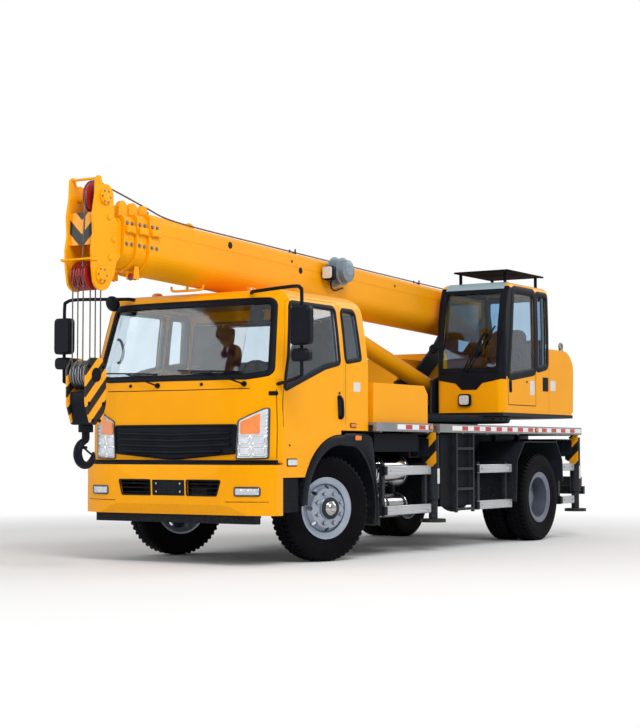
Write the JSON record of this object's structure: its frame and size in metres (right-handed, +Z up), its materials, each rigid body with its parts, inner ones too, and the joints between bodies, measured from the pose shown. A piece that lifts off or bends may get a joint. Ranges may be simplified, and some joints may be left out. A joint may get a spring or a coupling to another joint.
{
  "type": "mobile crane",
  "caption": "Truck crane with a nested telescopic boom on a slewing platform, an operator's cab, a forward truck cab with steered front and twin rear wheels, outriggers and a hook block.",
  "frame": {"origin": "on the ground under the middle of the overall length and width", "axes": "+X forward, +Y to the vehicle's left, +Z up"},
  "size_m": [8.518, 3.04, 3.499],
  "materials": {
    "crane_paint": "gloss golden yellow paint",
    "chassis_paint": "semi-gloss blue-grey chassis paint",
    "aluminium": "mill finish",
    "bright_steel": "bright",
    "engine_iron": "as cast",
    "rim": "silver-grey paint",
    "tyre": "matt",
    "black_plastic": "textured",
    "glass": "tinted",
    "lamp_lens": "clear and coloured lenses",
    "sheave_red": "dark red paint",
    "seat_fabric": "woven"
  },
  "bodies": {
    "chassis": {"chassis_frame": "chassis_paint", "axles": "chassis_paint", "driveline": "engine_iron", "side_tanks": "bright_steel", "side_frames": "chassis_paint", "guard_bars": "aluminium", "rear_fenders": "chassis_paint", "lockers": "chassis_paint", "deck": "aluminium", "cowl_box": "crane_paint", "cab_body": "crane_paint", "cab_front": "crane_paint", "cab_glass": "glass", "cab_seats": "seat_fabric", "cab_dash": "black_plastic", "front_bumper": "crane_paint", "front_trim": "black_plastic", "lamps": "lamp_lens", "front_fenders": "black_plastic", "mirrors": "black_plastic"},
    "door_left": {"door_left": "crane_paint", "door_left_glass": "glass"},
    "door_right": {"door_right": "crane_paint", "door_right_glass": "glass"},
    "knuckle_left": {"knuckle_left": "chassis_paint"},
    "knuckle_right": {"knuckle_right": "chassis_paint"},
    "wheel_front_left": {"tyre_front_left": "tyre", "rim_front_left": "rim"},
    "wheel_front_right": {"tyre_front_right": "tyre", "rim_front_right": "rim"},
    "wheel_rear_left": {"tyre_rear_left": "tyre", "rim_rear_left": "rim"},
    "wheel_rear_right": {"tyre_rear_right": "tyre", "rim_rear_right": "rim"},
    "turret": {"turntable": "chassis_paint", "tail_housing": "crane_paint", "winch": "chassis_paint", "op_cab_body": "crane_paint", "op_cab_glass": "glass", "op_seat": "seat_fabric", "roof_guard": "black_plastic"},
    "operator_door": {"op_door": "crane_paint", "op_door_glass": "glass"},
    "luff_barrel": {"luff_barrel": "crane_paint"},
    "luff_rod": {"luff_rod": "bright_steel"},
    "boom": {"boom_base": "crane_paint"},
    "boom_2": {"boom_2": "crane_paint"},
    "boom_3": {"boom_3": "crane_paint"},
    "boom_4": {"boom_4": "crane_paint", "head_sheaves": "sheave_red"},
    "hook": {"hook_block": "chassis_paint"},
    "beam_front_left": {"beam_front_left": "chassis_paint"},
    "jack_front_left": {"jack_front_left": "chassis_paint"},
    "beam_front_right": {"beam_front_right": "chassis_paint"},
    "jack_front_right": {"jack_front_right": "chassis_paint"},
    "beam_rear_left": {"beam_rear_left": "chassis_paint"},
    "jack_rear_left": {"jack_rear_left": "chassis_paint"},
    "beam_rear_right": {"beam_rear_right": "chassis_paint"},
    "jack_rear_right": {"jack_rear_right": "chassis_paint"}
  },
  "joints": [
    {"name": "slew", "type": "hinge", "parent": "chassis", "child": "turret", "pos_m": [-2.15628, 0, 1.42], "axis": [0, 0, 1], "continuous": true},
    {"name": "luff", "type": "hinge", "parent": "turret", "child": "boom", "pos_m": [-3.30628, 0, 2.62], "axis": [0, -1, 0], "range_deg": [0, 78]},
    {"name": "luff_barrel_swing", "type": "hinge", "parent": "turret", "child": "luff_barrel", "pos_m": [-2.25628, 0, 1.83], "axis": [0, -1, 0], "range_deg": [-1, 79]},
    {"name": "luff_rod_slide", "type": "slide", "parent": "luff_barrel", "child": "luff_rod", "axis": [0.9647, 0, 0.2633], "range_m": [-0.01, 1.6656]},
    {"name": "tele_2", "type": "slide", "parent": "boom", "child": "boom_2", "axis": [0.9994, 0, 0.0349], "range_m": [0, 5.3]},
    {"name": "tele_3", "type": "slide", "parent": "boom_2", "child": "boom_3", "axis": [0.9994, 0, 0.0349], "range_m": [-0.001, 5.301]},
    {"name": "tele_4", "type": "slide", "parent": "boom_3", "child": "boom_4", "axis": [0.9994, 0, 0.0349], "range_m": [-0.001, 5.301]},
    {"name": "hook_hang", "type": "hinge", "parent": "boom_4", "child": "hook", "pos_m": [4.11628, 0, 2.61904], "axis": [0, -1, 0], "range_deg": [-79, 1]},
    {"name": "steer_left", "type": "hinge", "parent": "chassis", "child": "knuckle_left", "pos_m": [1.64372, 0.79, 0.515], "axis": [0, 0, 1], "range_deg": [-15, 57]},
    {"name": "steer_right", "type": "hinge", "parent": "chassis", "child": "knuckle_right", "pos_m": [1.64372, -0.79, 0.515], "axis": [0, 0, 1], "range_deg": [-15.1, 57.1]},
    {"name": "spin_front_left", "type": "hinge", "parent": "knuckle_left", "child": "wheel_front_left", "pos_m": [1.69031, 0.91137, 0.515], "axis": [0.3584, 0.9336, 0], "continuous": true},
    {"name": "spin_front_right", "type": "hinge", "parent": "knuckle_right", "child": "wheel_front_right", "pos_m": [1.59713, -0.91137, 0.515], "axis": [0.3584, 0.9336, 0], "continuous": true},
    {"name": "spin_rear_left", "type": "hinge", "parent": "chassis", "child": "wheel_rear_left", "pos_m": [-2.85628, 0.9, 0.515], "axis": [0, 1, 0], "continuous": true},
    {"name": "spin_rear_right", "type": "hinge", "parent": "chassis", "child": "wheel_rear_right", "pos_m": [-2.85628, -0.9, 0.515], "axis": [0, 1, 0], "continuous": true},
    {"name": "door_left_hinge", "type": "hinge", "parent": "chassis", "child": "door_left", "pos_m": [2.65397, 1.121, 1.4], "axis": [0, 0, -1], "range_deg": [0, 68]},
    {"name": "door_right_hinge", "type": "hinge", "parent": "chassis", "child": "door_right", "pos_m": [2.65397, -1.121, 1.4], "axis": [0, 0, 1], "range_deg": [0, 68]},
    {"name": "operator_door_hinge", "type": "hinge", "parent": "turret", "child": "operator_door", "pos_m": [-2.70003, 1.201, 2.2], "axis": [0, 0, 1], "range_deg": [0, 100]},
    {"name": "beam_front_left_slide", "type": "slide", "parent": "chassis", "child": "beam_front_left", "axis": [0, 1, 0], "range_m": [0, 0.85]},
    {"name": "jack_front_left_slide", "type": "slide", "parent": "beam_front_left", "child": "jack_front_left", "axis": [0, 0, -1], "range_m": [0, 0.42]},
    {"name": "beam_front_right_slide", "type": "slide", "parent": "chassis", "child": "beam_front_right", "axis": [0, -1, 0], "range_m": [0, 0.85]},
    {"name": "jack_front_right_slide", "type": "slide", "parent": "beam_front_right", "child": "jack_front_right", "axis": [0, 0, -1], "range_m": [0, 0.42]},
    {"name": "beam_rear_left_slide", "type": "slide", "parent": "chassis", "child": "beam_rear_left", "axis": [0, 1, 0], "range_m": [0, 0.85]},
    {"name": "jack_rear_left_slide", "type": "slide", "parent": "beam_rear_left", "child": "jack_rear_left", "axis": [0, 0, -1], "range_m": [0, 0.42]},
    {"name": "beam_rear_right_slide", "type": "slide", "parent": "chassis", "child": "beam_rear_right", "axis": [0, -1, 0], "range_m": [0, 0.85]},
    {"name": "jack_rear_right_slide", "type": "slide", "parent": "beam_rear_right", "child": "jack_rear_right", "axis": [0, 0, -1], "range_m": [0, 0.42]}
  ],
  "couplings": [
    {"joint": "luff_barrel_swing", "follows": "luff", "ratio": 0.99373},
    {"joint": "luff_rod_slide", "follows": "luff", "m_per_rad": 1.2147},
    {"joint": "hook_hang", "follows": "luff", "ratio": -1},
    {"joint": "tele_3", "follows": "tele_2", "ratio": 1},
    {"joint": "tele_4", "follows": "tele_2", "ratio": 1},
    {"joint": "steer_right", "follows": "steer_left", "ratio": 1}
  ]
}
